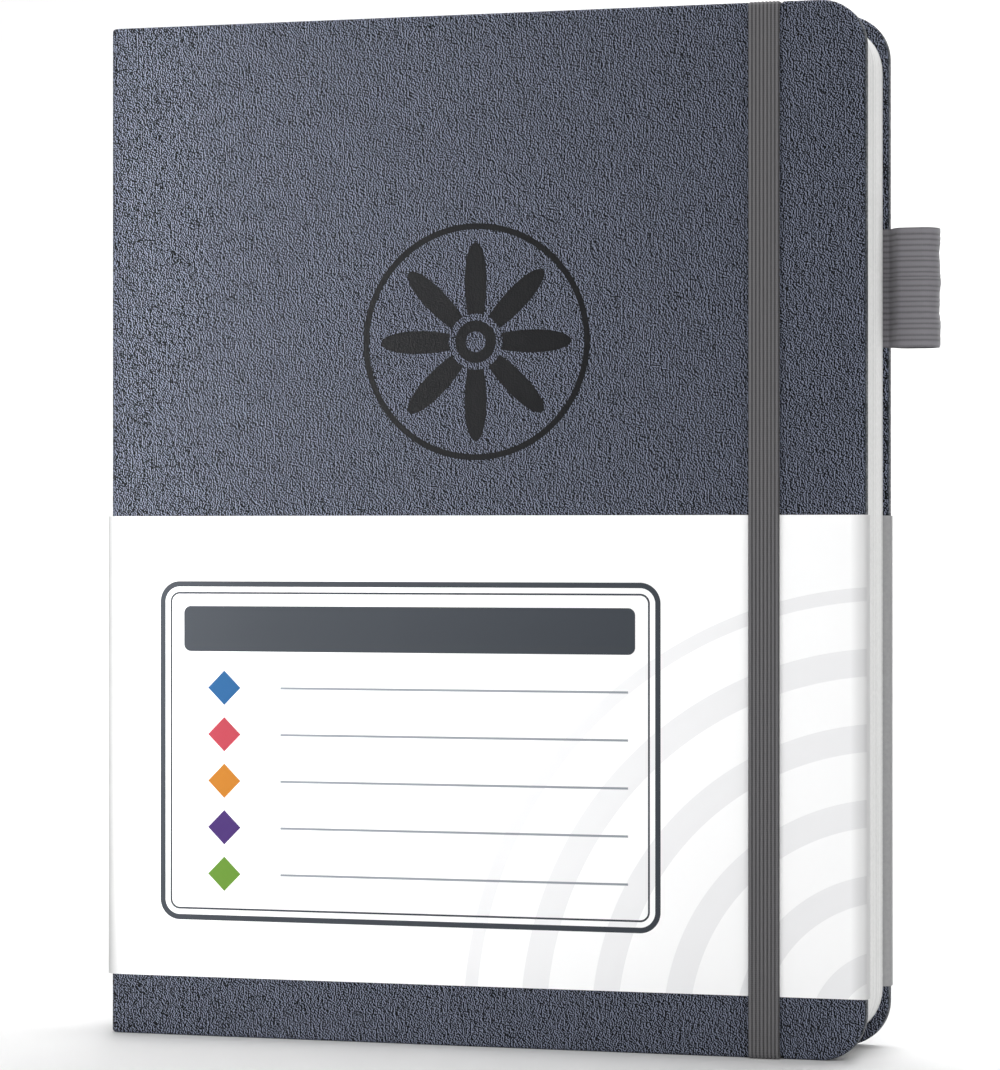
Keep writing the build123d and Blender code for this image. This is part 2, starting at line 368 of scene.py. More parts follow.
# The mark is 1 on a section's first page, less on its last and 0 on its cut edges.
first_page_mark, last_page_mark = 1.0, 0.7
any_page_over, first_page_over = 0.4, 0.9


def book_paper(name, colour, pages=False):
    """Matt stock of felted fibres. Pages also carry painted shade in the thin gaps between sheets on their
    cut edges, ruled lines at a fixed pitch, and a slate index tab where the UV map's zero lies, at the
    fore-edge."""
    fibre = 0.6
    sheet_pitch, sheet_run, sheet_rise = 0.45, 40.0, 120.0
    gap_start, gap_end, gap_shade = 0.3, 0.5, 0.86
    line_pitch, half_line = 7.0, 0.16
    material, shader = new_material(name)
    add = partial(add_node, material)
    place = add("TexCoord")
    felt = add("TexNoise", {"Vector": (place, "Object"), "Scale": 1 / (fibre * METRES), "Detail": 4.0})
    tone = add("ValToRGB", {"Fac": (felt, "Fac")})
    stops = tone.color_ramp.elements
    stops[0].position, stops[0].color = 0.3, to_linear(colour[0])
    stops[1].position, stops[1].color = 0.7, to_linear(colour[1])
    bump = add("Bump", {"Height": (felt, "Fac"), "Strength": 0.3, "Distance": 0.00004})
    finish = (tone, "Color")

    def inked(below, mask, ink):
        """The paper so far with an ink where the mask is 1."""
        mixed = add("Mix", {"Factor": (mask, "Value"), "A": below, "B": to_linear(ink)}, data_type="RGBA")
        return mixed, "Result"

    if pages:
        # Painted shade: a noise in thin layers darkens the paper where the gaps between sheets lie.
        sheet_scale = tuple(1 / (size * METRES) for size in (sheet_run, sheet_pitch, sheet_rise))
        sheet_place = add("Mapping", {"Vector": (place, "Object"), "Scale": sheet_scale})
        sheets = add("TexNoise", {"Vector": (sheet_place, "Vector"), "Scale": 1.0, "Detail": 1.0})
        shade = add(
            "MapRange",
            {"Value": (sheets, "Fac"), "From Min": gap_start, "From Max": gap_end, "To Min": gap_shade},
        )
        edged = add(
            "Mix",
            {"Factor": 1.0, "A": finish, "B": (shade, "Result")},
            data_type="RGBA",
            blend_type="MULTIPLY",
        )
        apart = add("SeparateXYZ", {"Vector": (place, "Object")})
        step = add("Math", {0: (apart, "Z"), 1: line_pitch / 2 * METRES}, operation="PINGPONG")
        on_line = add("Math", {0: (step, "Value"), 1: half_line * METRES}, operation="LESS_THAN")
        face = add("Attribute", attribute_name="printed")
        broad = add("Math", {0: (face, "Fac"), 1: any_page_over}, operation="GREATER_THAN")
        ruled = add("Math", {0: (on_line, "Value"), 1: (broad, "Value")}, operation="MULTIPLY")
        finish = inked((edged, "Result"), ruled, "#a9adb5")
        spot = add("UVMap", uv_map="along")
        sides = add("SeparateXYZ", {"Vector": (spot, "UV")})
        at_edge = add("Math", {0: (sides, "X"), 1: 0.0, 2: tab_width}, operation="COMPARE")
        at_height = add("Math", {0: (sides, "Y"), 1: 0.0, 2: tab_height / 2}, operation="COMPARE")
        first_page = add("Math", {0: (face, "Fac"), 1: first_page_over}, operation="GREATER_THAN")
        tab = add("Math", {0: (at_edge, "Value"), 1: (at_height, "Value")}, operation="MULTIPLY")
        tab = add("Math", {0: (tab, "Value"), 1: (first_page, "Value")}, operation="MULTIPLY")
        finish = inked(finish, tab, "#565d6b")
    join(material, finish[0], finish[1], shader, "Base Color")
    join(material, bump, "Normal", shader, "Normal")
    shader.inputs["Roughness"].default_value = 0.85
    return material


page_paper = book_paper("page_paper_machine_finished", ("#e8e8e7", "#f3f3f2"), pages=True)
endpaper = book_paper("endpaper_matt", ("#d9d9d8", "#e6e6e5"))
print("made", page_paper.name, "and", endpaper.name)

# %% [markdown]
# The book stands in a white sweep: a floor that curves up into a wall, so that no horizon shows. A big
# soft box in front and one from the right give even light, and one overhead lifts the floor to white. The
# light on the cover falls from left to right, which a far lamp can't do. So tall strip boxes with a grid
# on them stand in front of the spine. A grid lets out a narrow beam, which fades across the cover, and
# the boxes stay clear of the opening front cover. A black flag at the left keeps the white room's light
# off the spine, so that its edge reads. Light and camera come before the pieces, so that each can be
# judged as it is added.

# %% Floor and light
def sweep_floor():
    """A floor that curves up behind the book: a straight run, a quarter circle and a wall."""
    half_width, front, back, bend, top = 4000.0, -4000.0, 900.0, 900.0, 3500.0
    turn = np.linspace(-np.pi / 2, 0, 24)
    y = np.concatenate([[front], back + bend * np.cos(turn), [back + bend]])
    z = np.concatenate([[0.0], bend + bend * np.sin(turn), [top]])
    x = np.array([-half_width, half_width])
    rows = np.stack(
        [np.broadcast_to(x[None, :], (len(y), 2)), np.tile(y[:, None], 2), np.tile(z[:, None], 2)], -1
    )
    row = np.arange(len(y) - 1)[:, None] * 2
    faces = row + np.array([[0, 1, 3, 2]])
    mesh = bpy.data.meshes.new("studio_floor")
    mesh.from_pydata((rows.reshape(-1, 3) * METRES).tolist(), [], faces.tolist())
    mesh.shade_smooth()
    floor = bpy.data.objects.new("studio_floor", mesh)
    bpy.context.scene.collection.objects.link(floor)
    return floor


floor = sweep_floor()
floor_white, shader = new_material("studio_white")
shader.inputs["Base Color"].default_value = to_linear("#e6e6e6")
shader.inputs["Roughness"].default_value = 0.6
floor.data.materials.append(floor_white)


def softbox(name, place, aim, size, power, spread=180.0):
    """An area light of a width and height at a place, turned to a point, all in millimetres. The spread is
    the full angle in degrees that a grid on the box lets out."""
    lamp = bpy.data.lights.new(name, "AREA")
    lamp.shape = "RECTANGLE"
    lamp.size, lamp.size_y = size[0] * METRES, size[1] * METRES
    lamp.energy = power
    lamp.spread = np.radians(spread)
    holder = bpy.data.objects.new(name, lamp)
    holder.location = Vector(place) * METRES
    holder.rotation_euler = (Vector(aim) - Vector(place)).to_track_quat("-Z", "Y").to_euler()
    holder.visible_camera = False
    bpy.context.scene.collection.objects.link(holder)
    return holder


book_middle = (0.0, 0.0, 85.0)
softbox("strip_left", (-128.0, -311.0, 140.0), (-84.0, -11.0, 132.0), (30.0, 230.0), 0.104, spread=50.0)
softbox("strip_edge", (-110.0, -311.0, 140.0), (-70.0, -11.0, 132.0), (12.0, 230.0), 0.0085, spread=12.0)
softbox("front", (150.0, -2300.0, 1900.0), (0.0, -900.0, 0.0), (2600.0, 2600.0), 52.0)
softbox("fill_right", (900.0, -1000.0, 600.0), book_middle, (700.0, 700.0), 3.15)
softbox("overhead", (0.0, 450.0, 1300.0), (0.0, 250.0, 0.0), (900.0, 900.0), 10.7)
softbox("backdrop_light", (0.0, 700.0, 1500.0), (0.0, 1700.0, 700.0), (1500.0, 1500.0), 25.5)


def black_flag(x, near_y, far_y, foot, top):
    """A black card that hangs beside the book and keeps the white room's light off the spine. It is out of
    the picture, and only bounced light meets it: four corners of one upright rectangle, whose foot stays
    clear of the floor, so that it draws no line there."""
    corners = np.array([(x, near_y, foot), (x, far_y, foot), (x, far_y, top), (x, near_y, top)])
    mesh = bpy.data.meshes.new("black_flag")
    mesh.from_pydata((corners * METRES).tolist(), [], [(0, 1, 2, 3)])
    flag_black, shader = new_material("black_velvet_flag")
    shader.inputs["Base Color"].default_value = to_linear("#050505")
    shader.inputs["Roughness"].default_value = 1.0
    mesh.materials.append(flag_black)
    flag = bpy.data.objects.new("black_flag", mesh)
    flag.visible_camera = False
    flag.visible_shadow = False
    bpy.context.scene.collection.objects.link(flag)
    return flag


black_flag(-420.0, -400.0, 500.0, 110.0, 700.0)
world = bpy.data.worlds.new("studio")
world.use_nodes = True
world.node_tree.nodes["Background"].inputs["Color"].default_value = to_linear("#f4f5f7")
world.node_tree.nodes["Background"].inputs["Strength"].default_value = 0.15
bpy.context.scene.world = world
bpy.context.scene.view_settings.view_transform = "Standard"
print("lamps:", len(bpy.data.lights))

# %% [markdown]
# The camera's place, aim and focal length were fitted to the book's edges in the photo. The focal length
# is counted in the photo's pixels. Blender's sensor spans the longer side of the frame, here its height,
# so the lens in millimetres is the focal length's share of that height times the sensor's width.

# %% Camera
PHOTO_HEIGHT = 1070
focal_pixels = 3800
camera_place, camera_aim = (179.5, -608.4, 83.2), (-0.2874, 0.9578, 0.0016)
lens = bpy.data.cameras.new("photo_camera")
lens.sensor_width = 36.0
lens.lens = focal_pixels * lens.sensor_width / PHOTO_HEIGHT
camera = bpy.data.objects.new("photo_camera", lens)
camera.location = Vector(camera_place) * METRES
camera.rotation_euler = Vector(camera_aim).to_track_quat("-Z", "Y").to_euler()
bpy.context.scene.collection.objects.link(camera)
bpy.context.scene.camera = camera
print("camera lens", round(lens.lens, 1), "mm")

# %% [markdown]
# A case-bound cover is a greyboard wrapped in leatherette. The sheet is pulled over head, tail and fore-
# edge and glued down inside as a turn-in, which is gathered in small pleats round the rounded corners. So
# the skin is a plate with a pocket in it: its rings run from the inner side of the sheet round the
# pocket, over the turn-in, round the rim and onto the face. One outline, moved in and down step by step,
# gives that in a single grid.

# %% The two covers
def plate_rings(low, high, radius, inset, spine_inset, height, corner_steps=12, edge_x=(), dip=0.0):
    """Rings of a plate with two rounded fore-edge corners. Ring i is the outline moved in by inset i (by
    spine inset i at the spine end) at the height y of i. Corner points are a centre plus the left-over radius
    times the cosine and sine of a quarter turn. Points at edge_x on head and tail sink in by dip."""
    inset, spine_inset, height = (np.asarray(v, float)[:, None] for v in (inset, spine_inset, height))
    least_rounding = 0.3
    rounding = np.maximum(radius - inset, least_rounding)
    reach = inset + rounding
    turn = np.linspace(-np.pi / 2, 0, corner_steps)[None, :]
    arc_x = high[0] - reach + rounding * np.cos(turn)
    arc_z = low[2] + reach + rounding * np.sin(turn)
    side_x = np.broadcast_to(np.asarray(edge_x, float), (len(inset), len(edge_x)))
    side_z = np.broadcast_to(low[2] + inset + dip, side_x.shape) if len(edge_x) else side_x
    start_x = low[0] + spine_inset
    start_z = low[2] + inset
    x = np.concatenate([start_x, side_x, arc_x], 1)
    z = np.concatenate([start_z, side_z, arc_z], 1)
    x = np.concatenate([x, x[:, ::-1]], 1)
    z = np.concatenate([z, low[2] + high[2] - z[:, ::-1]], 1)
    return np.stack([x, np.broadcast_to(height, x.shape), z], -1)


def cover_skin(name, low, high, outer_y, inward, material):
    """The leatherette on a board. Its profile runs from the sheet's inner side round the pocket for the
    board, over the turn-in, round the rim and onto the outer face. The elastic has pressed a dip into head
    and tail, as deep as a smoothstep falls, and the pleats round the corners rise as a sine does."""
    turn = np.linspace(0, np.pi / 2, 7)
    rim_in = edge_rounding * (1 - np.sin(turn))
    rim_depth = cover_thickness - edge_rounding * (1 - np.cos(turn))
    inset = np.concatenate(
        [[turn_in, sheet, sheet, turn_in, turn_in, 9, 6, 3], rim_in, rim_in[::-1], [3, 6]]
    )
    depth = np.concatenate(
        [
            [sheet, sheet, cover_thickness - sheet, cover_thickness - sheet],
            [cover_thickness] * 4,
            rim_depth,
            cover_thickness - rim_depth[::-1],
            [0, 0],
        ]
    )
    # At the spine end the rim meets the hinge. The pocket and the turn-in step back a little from it.
    spine_inset = np.zeros(len(inset))
    spine_inset[:8] = (0.9, sheet, sheet, 0.9, 0.9, 0.7, 0.5, 0.25)
    spine_inset[-2:] = (3, 6)
    dip_depth, dip_slope, dip_reach = 1.1, 0.25, 4.0
    edge_x = closure_middle + np.linspace(-dip_reach, dip_reach, 25)
    beside = np.clip((np.abs(edge_x - closure_middle) - closure_width / 2) / dip_slope, 0, 1)
    falling = (1 - beside ** 2 * (3 - 2 * beside))[None, :]
    dip = dip_depth * falling * np.clip(1 - inset / dip_reach, 0, 1)[:, None]
    corner_steps, pleats, pleat_height = 40, 4, 0.1
    rings = plate_rings(
        low, high, corner_radius, inset, spine_inset, outer_y + inward * depth, corner_steps, edge_x, dip
    )
    angle = np.linspace(0, np.pi / 2, corner_steps)
    fold = pleat_height * np.abs(np.sin(2 * pleats * angle)) ** 0.6
    on_turn_in = np.where((np.arange(len(inset)) > 3) & (depth > cover_thickness - 0.01), 1.0, 0.0)
    first = 1 + len(edge_x)
    rings[:, first:first + corner_steps, 1] += inward * on_turn_in[:, None] * fold
    rings[:, -first - corner_steps:-first, 1] += inward * on_turn_in[:, None] * fold[::-1]
    return add_rings(name, rings, material, sharp=50)


front_skin = cover_skin(
    "front_cover_leatherette", cover_low, cover_high, cover_low[1], 1, stamped_leatherette
)
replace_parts(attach(front_skin, "front_cover"), "front_cover_skin")
back_skin = cover_skin("back_cover_leatherette", back_low, back_high, back_high[1], -1, slate_leatherette)
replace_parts(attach(back_skin, "back_cover"), "back_cover_skin")
print("covers:", [len(o.data.polygons) for o in (front_skin, back_skin)], "faces")

# %% [markdown]
# A strip is a section carried along a path. The path is made of straight runs joined by arcs, as a bent
# strip of cloth or paper is, and the section is drawn across it. The same two functions make the hinges,
# the spine, the closure, the pen loop and the paper band.

# %% Paths and sections
def bent_path(corners, radius, steps=10):
    """Places and left-hand normals along straight runs joined by arcs, in a plane. Each arc starts the radius
    times the tangent of half its turn before its corner, and its points are the arc's centre plus the radius
    times the cosine and sine of a part of the turn."""
    corners = np.asarray(corners, float)
    run = np.diff(corners, axis=0)
    run = run / np.linalg.norm(run, axis=1)[:, None]
    before, after = run[:-1], run[1:]
    turn = np.arctan2(
        before[:, 0] * after[:, 1] - before[:, 1] * after[:, 0], (before * after).sum(1)
    )
    radius = np.broadcast_to(radius, turn.shape)
    left = np.stack([-run[:, 1], run[:, 0]], 1)
    side = left[:-1] * np.sign(turn)[:, None]
    start = corners[1:-1] - before * (radius * np.tan(np.abs(turn) / 2))[:, None]
    part = np.linspace(0, 1, steps)[None, :, None] * np.abs(turn)[:, None, None]
    reach = radius[:, None, None]
    arc = (start + side * radius[:, None])[:, None] + reach * (
        before[:, None] * np.sin(part) - side[:, None] * np.cos(part)
    )
    bow = left[:-1][:, None] * np.cos(part) - np.sign(turn)[:, None, None] * before[:, None] * np.sin(part)
    place = np.concatenate([corners[:1], arc.reshape(-1, 2), corners[-1:]])
    normal = np.concatenate([left[:1], bow.reshape(-1, 2), left[-1:]])
    apart = np.linalg.norm(np.diff(place, axis=0), axis=1) > 1e-6
    keep = np.concatenate([[True], apart])
    return place[keep], normal[keep]


def carried(path, normal, plane, fixed, section):
    """Rings of a section (across, out) carried along a plane path. Across runs along the axis that the plane
    lacks, starting at fixed, and out runs along the path's normal."""
    across_axis = ({0, 1, 2} - set(plane)).pop()
    rings = np.zeros((len(path), len(section), 3))
    rings[:, :, plane] = path[:, None, :] + section[None, :, 1:] * normal[:, None, :]
    rings[:, :, across_axis] = fixed + section[None, :, 0]
    return rings


def distance_along(path):
    """Length of path from its start to each point: the running sum of the steps between neighbours."""
    return np.concatenate([[0], np.cumsum(np.linalg.norm(np.diff(path, axis=0), axis=1))])


def length_grid(path, across):
    """Texture places: across in the section's own measure, along in millimetres of path."""
    across = np.append(across, across[0])
    return np.stack(np.broadcast_arrays(across[None, :], distance_along(path)[:, None]), -1)


def left_normals(path):
    """Unit normals on the left of a path, from the difference of each point's two neighbours."""
    step = np.gradient(path, axis=0)
    normal = np.stack([-step[:, 1], step[:, 0]], 1)
    return normal / np.linalg.norm(normal, axis=1)[:, None]


def full_quarter(start, corner, end, fullness=5.0, steps=21):
    """A quarter turn that fills its corner more than a circle does: the corner's two sides are weighted by
    the sine and cosine raised to two over the fullness, so at 2 it is a circle. Its points lie evenly."""
    angle = np.linspace(0, np.pi / 2, 400)[:, None]
    start, corner, end = (np.asarray(v, float) for v in (start, corner, end))
    middle = start + end - corner
    leaving, arriving = np.cos(angle) ** (2 / fullness), np.sin(angle) ** (2 / fullness)
    curve = middle + (start - middle) * leaving + (end - middle) * arriving
    along = distance_along(curve)
    even = np.linspace(0, along[-1], steps)
    path = np.stack([np.interp(even, along, curve[:, i]) for i in (0, 1)], 1)
    return path, left_normals(path)


def straight_run(start, end, steps):
    """Places in a line from start to end, each with a normal along x."""
    return np.linspace(start, end, steps), np.tile((1.0, 0.0), (steps, 1))


UPRIGHT = [1, 2]
PLAN = [0, 1]
print("quarter turn of 4 mm:", len(bent_path([(0, 0), (4, 0), (4, 4)], 4.0)[0]), "places")

# %% [markdown]
# Between cover and spine the leatherette bends alone, with no board under it. That bend is the binding's
# hinge. At rest it is a full quarter turn, squarer than a circle, because the board's edge pushes it out
# from inside. The spine is a flat strip with a pocket for a board of its own.

# %% Hinges and spine
def wrapped_section(total, boarded):
    """Leatherette turned in at head and tail: (height, depth) round the outer sheet, over each rounded edge
    and along the turn-in. A boarded strip leaves a pocket between the sheet and its turn-ins."""
    rounding = min(edge_rounding, total / 2 - 0.05)
    quarter = np.linspace(0, np.pi / 2, 6)
    drop, rise = rounding * (1 - np.sin(quarter)), rounding * (1 - np.cos(quarter))
    edge_z = np.concatenate([drop, rise])
    edge_depth = np.concatenate([total - rise, drop])
    pocket = [(sheet, sheet), (sheet, total - sheet), (turn_in, total - sheet), (turn_in, total)]
    flat = [(turn_in, sheet), (turn_in, total)]
    inside = np.array(pocket if boarded else flat)
    tail = np.concatenate([inside, np.stack([edge_z, edge_depth], 1)])
    head = tail[::-1] * (-1, 1) + (cover_height, 0)
    return np.concatenate([tail, head])


spine_x = spine_low[0]
front_y, back_y = cover_low[1], back_high[1]
hinge_section = wrapped_section(2 * sheet, False)
front_route = [(spine_x, spine_low[1]), (spine_x, front_y), (cover_low[0], front_y)]
back_route = [(cover_low[0], back_y), (spine_x, back_y), (spine_x, spine_high[1])]


def hinge_strip(name, route):
    """The bare leatherette of one hinge, its section carried round a full quarter turn."""
    rings = carried(*full_quarter(*route), PLAN, 0.0, hinge_section)
    return add_rings(name, rings, slate_leatherette)


front_hinge = hinge_strip("front_hinge_leatherette", front_route)
rear_hinge = hinge_strip("rear_hinge_leatherette", back_route)
spine_route = straight_run((spine_x, spine_high[1]), (spine_x, spine_low[1]), 5)
spine_section = wrapped_section(spine_high[0] - spine_low[0], True)
spine_skin = add_rings(
    "spine_leatherette",
    carried(*spine_route, PLAN, 0.0, spine_section),
    spine_leatherette,
)


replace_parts(front_hinge, "front_hinge_strip")
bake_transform(front_hinge)
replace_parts(rear_hinge, "rear_hinge_strip")
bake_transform(rear_hinge)
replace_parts(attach(spine_skin, "spine"), "spine_skin")
print("case:", [len(o.data.polygons) for o in (front_hinge, spine_skin, rear_hinge)], "faces")

# %% [markdown]
# A book block is sewn from folded sections. Here each one holds the leaves of two letters. The cut edges
# aren't quite level, since each leaf is trimmed a little unevenly, and the fold is rounded at both faces.
# A section's edge is one curve with a hump to each leaf, carried round the page's outline, so leaves show
# from any side. Real leaves are too thin for that: eight humps to a section are as many as can be seen.

# %% Sections of leaves
leaves_in_section, points_on_leaf = 8, 4
section_nodes = sorted(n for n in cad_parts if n.startswith("leaves_"))
draw = np.random.default_rng(7)


def section_rings(low, high):
    """A folded section. Its cut edges rise and fall as the absolute value of a sine, one hump to a leaf, each
    leaf trimmed a little unevenly; its fold is rounded as a quarter circle at both faces."""
    thickness = high[1] - low[1]
    hump, trim, last_trim, stagger, rounding, page_corner = 0.08, 0.05, 0.02, 0.12, 0.45, 8.0
    part = np.linspace(0, 1, leaves_in_section * points_on_leaf + 1)
    uneven = np.append(np.repeat(draw.uniform(0, trim, leaves_in_section), points_on_leaf), last_trim)
    leaf_edge = hump * (1 - np.abs(np.sin(np.pi * leaves_in_section * part)))
    inset = leaf_edge + uneven + draw.uniform(0, stagger)
    past = np.clip((np.abs(part - 0.5) * thickness - thickness / 2 + rounding) / rounding, 0, 1)
    spine_inset = rounding * (1 - np.sqrt(1 - past ** 2))
    flat_inset = 0.6
    inset = np.concatenate([[flat_inset], inset, [flat_inset]])
    spine_inset = np.concatenate([[flat_inset], spine_inset, [flat_inset]])
    height = low[1] + thickness * np.concatenate([[0], part, [1]])
    return plate_rings(low, high, page_corner, inset, spine_inset, height, 14)


first_tab, tab_step = 158.0, 12.2
for number, node in enumerate(section_nodes):
    low, high = corners_of(node)
    rings = section_rings(low, high)
    marks = np.zeros(rings.shape[:2])
    marks[0], marks[-1] = first_page_mark, last_page_mark
    tab_place = np.array((high[0], first_tab - tab_step * number))
    flat = rings[:, :, [0, 2]] - tab_place
    spots = np.concatenate([flat, flat[:, :1]], 1)
    section = add_rings("pages_" + node[-2:], rings, page_paper, uv=spots, marks=marks)
    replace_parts(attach(section, node), node)
print("page block:", len(section_nodes), "sections of", leaves_in_section, "leaves")

# %% [markdown]
# Each section opens with an index tab, printed flush with the page, since no tab stands out of the block.
# The letters are white ink. Blender's own text would bring a font into the part, so each pair of letters
# is made a mesh, a hundredth of a millimetre thick, before it is laid on the page.

# %% Index letters
tab_ink = book_paper("white_ink_offset", ("#f0f0ee", "#fafaf8"))
letter_size, ink_thickness = 4.6, 0.012


def letters_on_page(node, tab_z):
    """Two capitals set upright on a section's first page: the text's x, y and z become x, z and minus y."""
    low, high = corners_of(node)
    words = bpy.data.curves.new("letters_" + node[-2:], "FONT")
    words.body = node[-2:].upper()
    words.size = letter_size
    words.align_x, words.align_y = "CENTER", "CENTER"
    words.extrude = ink_thickness / 2
    words.resolution_u = 4
    text = bpy.data.objects.new(words.name, words)
    bpy.context.scene.collection.objects.link(text)
    mesh = bpy.data.meshes.new_from_object(text.evaluated_get(bpy.context.evaluated_depsgraph_get()))
    bpy.data.objects.remove(text)
    flat = np.empty(len(mesh.vertices) * 3, np.float32)
    mesh.vertices.foreach_get("co", flat)
    x, y, z = flat.reshape(-1, 3).T
    middle_x = high[0] - tab_width / 2
    laid = np.stack([middle_x + x, low[1] - ink_thickness / 2 - z, tab_z + y], 1) * METRES
    mesh.vertices.foreach_set("co", laid.astype(np.float32).ravel())
    sewn = bmesh.new()
    sewn.from_mesh(mesh)
    bmesh.ops.remove_doubles(sewn, verts=sewn.verts, dist=1e-7)
    bmesh.ops.recalc_face_normals(sewn, faces=sewn.faces)
    sewn.to_mesh(mesh)
    sewn.free()
    mesh.materials.clear()
    mesh.materials.append(tab_ink)
    piece = bpy.data.objects.new("index_" + node[-2:], mesh)
    bpy.context.scene.collection.objects.link(piece)
    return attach(piece, node)


letters = [letters_on_page(node, first_tab - tab_step * i) for i, node in enumerate(section_nodes)]
print("index:", len(letters), "pairs of letters,", sum(len(o.data.polygons) for o in letters), "faces")

# %% [markdown]
# Flat elastic is a row of rubber cords covered by woven polyester. The eye gets ribs along it, grooves
# between them, darkened with painted shade, and fine threads across. The weave follows the strip, so its
# pattern reads a UV map that counts ribs across and millimetres along. Polyester is matt, with a soft sheen
# where it turns away.

# %% Grey elastic, woven polyester over rubber
def woven_elastic(name, groove_shade_colour, crown):
    """Rubber cords under a polyester weave: one raised rib to a cord, crossed by fine threads, with painted
    shade in the grooves between ribs.
    """
    thread, thread_share, fuzz_share = 0.32, 0.12, 0.35
    material, shader = new_material(name)
    add = partial(add_node, material)
    place = add("UVMap", uv_map="along")
    apart = add("SeparateXYZ", {"Vector": (place, "UV")})
    phase = add("Math", {0: (apart, "X"), 1: np.pi}, operation="MULTIPLY")
    wave = add("Math", {0: (phase, "Value")}, operation="SINE")
    rib = add("Math", {0: (wave, "Value")}, operation="ABSOLUTE")
    thread_phase = add("Math", {0: (apart, "Y"), 1: 2 * np.pi / thread}, operation="MULTIPLY")
    thread_wave = add("Math", {0: (thread_phase, "Value")}, operation="SINE")
    fuzz = add("TexNoise", {"Vector": (place, "UV"), "Scale": 3.0, "Detail": 3.0})
    lift = add(
        "Math", {0: (thread_wave, "Value"), 1: thread_share, 2: (rib, "Value")}, operation="MULTIPLY_ADD"
    )
    mixed = add("Math", {0: (fuzz, "Fac"), 1: fuzz_share, 2: (lift, "Value")}, operation="MULTIPLY_ADD")
    # The tone follows the rib wave, so the grooves between ribs are darker: painted shade.
    tone = add("ValToRGB", {"Fac": (mixed, "Value")})
    stops = tone.color_ramp.elements
    stops[0].position, stops[0].color = 0.25, to_linear(groove_shade_colour)
    stops[1].position, stops[1].color = 1.0, to_linear(crown)
    bump = add("Bump", {"Height": (lift, "Value"), "Strength": 0.4, "Distance": 0.00006})
    join(material, tone, "Color", shader, "Base Color")
    join(material, bump, "Normal", shader, "Normal")
    shader.inputs["Roughness"].default_value = 0.75
    shader.inputs["Sheen Weight"].default_value = 0.15
    return material


closure_elastic = woven_elastic("grey_elastic_woven", "#2b2a2c", "#656466")
loop_elastic = woven_elastic("grey_loop_elastic_woven", "#5d5c5f", "#7c7a7f")
print("made", closure_elastic.name, "and", loop_elastic.name)

# %% [markdown]
# The closure runs over the front cover from head to tail. Its ends pass through two slits in the back
# cover and are glued inside. The ribs are real shapes: the section across the strip rises and falls once
# for each cord. The hoop swings on the back cover.

# %% Elastic closure and its two glued ends
def ribbed_section(width, thickness, ribs, relief, samples=8, uneven=0.0):
    """Outline across a ribbed elastic: each face falls by the relief between ribs, as the absolute value of a
    sine with one hump to a rib. Rib widths and reliefs are drawn within the uneven share of their mean.
    Returned with the rib count at each point, for the weave."""
    count = np.linspace(0, ribs, ribs * samples + 1)
    ends = np.concatenate([[0], np.cumsum(draw.uniform(1 - uneven, 1 + uneven, ribs))])
    across = (np.interp(count, np.arange(ribs + 1), ends / ends[-1]) - 0.5) * width
    depth = relief * np.interp(count, np.arange(ribs + 1), draw.uniform(1 - uneven, 1 + uneven, ribs + 1))
    face = thickness / 2 - depth * (1 - np.abs(np.sin(np.pi * count)))
    outline = np.stack([np.append(across, across[::-1]), np.append(face, -face[::-1])], 1)
    return outline, np.append(count, count[::-1])


closure_ribs, closure_relief, closure_thickness = 8, 0.16, 1.0
half = closure_thickness / 2
closure_section, closure_count = ribbed_section(
    closure_width, closure_thickness, closure_ribs, closure_relief
)
closure_bend, glued_length = 0.6, 10.0


def closure_strip(name, corners):
    """A stretch of the closure along straight runs in the upright plane of its middle, and its length."""
    path, normal = bent_path(corners, closure_bend)
    rings = carried(path, normal, UPRIGHT, closure_middle, closure_section)
    uv = length_grid(path, closure_count)
    piece = add_rings(name, rings, closure_elastic, uv, sharp=60)
    return piece, distance_along(path)[-1]


head_z, tail_z = closure_high[2] - half, closure_low[2] + half
hoop_y, turn_y = closure_low[1] + half, closure_high[1]
hoop_route = [(turn_y, head_z), (hoop_y, head_z), (hoop_y, tail_z), (turn_y, tail_z)]
hoop, elastic_length = closure_strip("elastic_closure", hoop_route)
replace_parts(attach(hoop, "closure"), "closure_band")
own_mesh(hoop)
for node, edge_z in (("closure_head_end", head_z), ("closure_tail_end", tail_z)):
    low, high = corners_of(node)
    inward = np.sign(book_middle[2] - edge_z)
    end_z = low[2] if inward < 0 else high[2]
    slit_z = end_z - inward * glued_length
    outside, inside = high[1] - half, low[1] + half
    route = [(turn_y, edge_z), (outside, edge_z), (outside, slit_z), (inside, slit_z), (inside, end_z)]
    strip, strip_length = closure_strip(node.replace("closure", "elastic"), route)
    elastic_length += strip_length
    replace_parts(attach(strip, "back_cover"), node)
print("closure:", closure_ribs, "ribs,", round(elastic_length, 1), "mm of elastic")

# %% [markdown]
# The pen loop is a wider, thinner elastic folded double. Its two layers lie side by side in the back
# cover, part at the cover's edge and meet in a round tip. The cords of such an elastic aren't even, so
# their widths are drawn at random within a share of their mean. One strip makes the loop and its glued
# tab.

# %% Pen loop
loop_low, loop_high = corners_of("pen_loop")
tab_low = corners_of("pen_loop_tab")[0]
loop_ribs, loop_relief, loop_unevenness = 22, 0.06, 0.45
loop_wall, loop_proud = 0.6, 0.12
loop_width = loop_high[2] - loop_low[2]
loop_section, loop_count = ribbed_section(
    loop_width, loop_wall, loop_ribs, loop_relief, 6, loop_unevenness
)
half_wall = loop_wall / 2
loop_middle_y = (loop_low[1] + loop_high[1]) / 2 - loop_proud
loop_side = (loop_high[1] - loop_low[1]) / 2 - half_wall
neck_x = cover_high[0]
parting_length, tip_radius = 2.6, 2.5
belly_x = neck_x + parting_length
tip_x = loop_high[0] - half_wall


